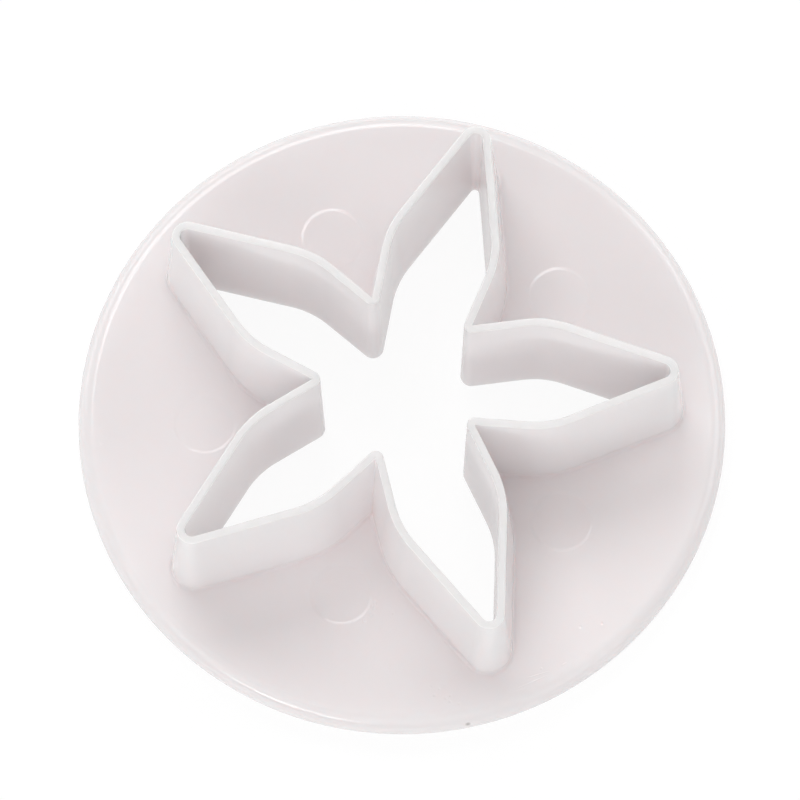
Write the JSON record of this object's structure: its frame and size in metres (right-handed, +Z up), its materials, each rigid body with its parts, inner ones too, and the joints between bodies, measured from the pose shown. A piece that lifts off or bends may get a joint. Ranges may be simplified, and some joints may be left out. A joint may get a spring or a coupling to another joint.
{
  "type": "calyx cutter",
  "caption": "Round moulded disc with a raised thin star-shaped cutting wall around an opening right through it, for cutting calyx shapes from sugar paste.",
  "frame": {"origin": "middle of the disc's flat underside, on the axis of the round rim", "axes": "+Z up from the disc towards the cutting edge, +Y along the axis of one sepal"},
  "size_m": [0.06, 0.06, 0.0152],
  "materials": {
    "white_plastic": "gloss off-white injection-moulded plastic, very slightly pink"
  },
  "bodies": {
    "root": {"cutter_moulding": "white_plastic"}
  },
  "joints": []
}
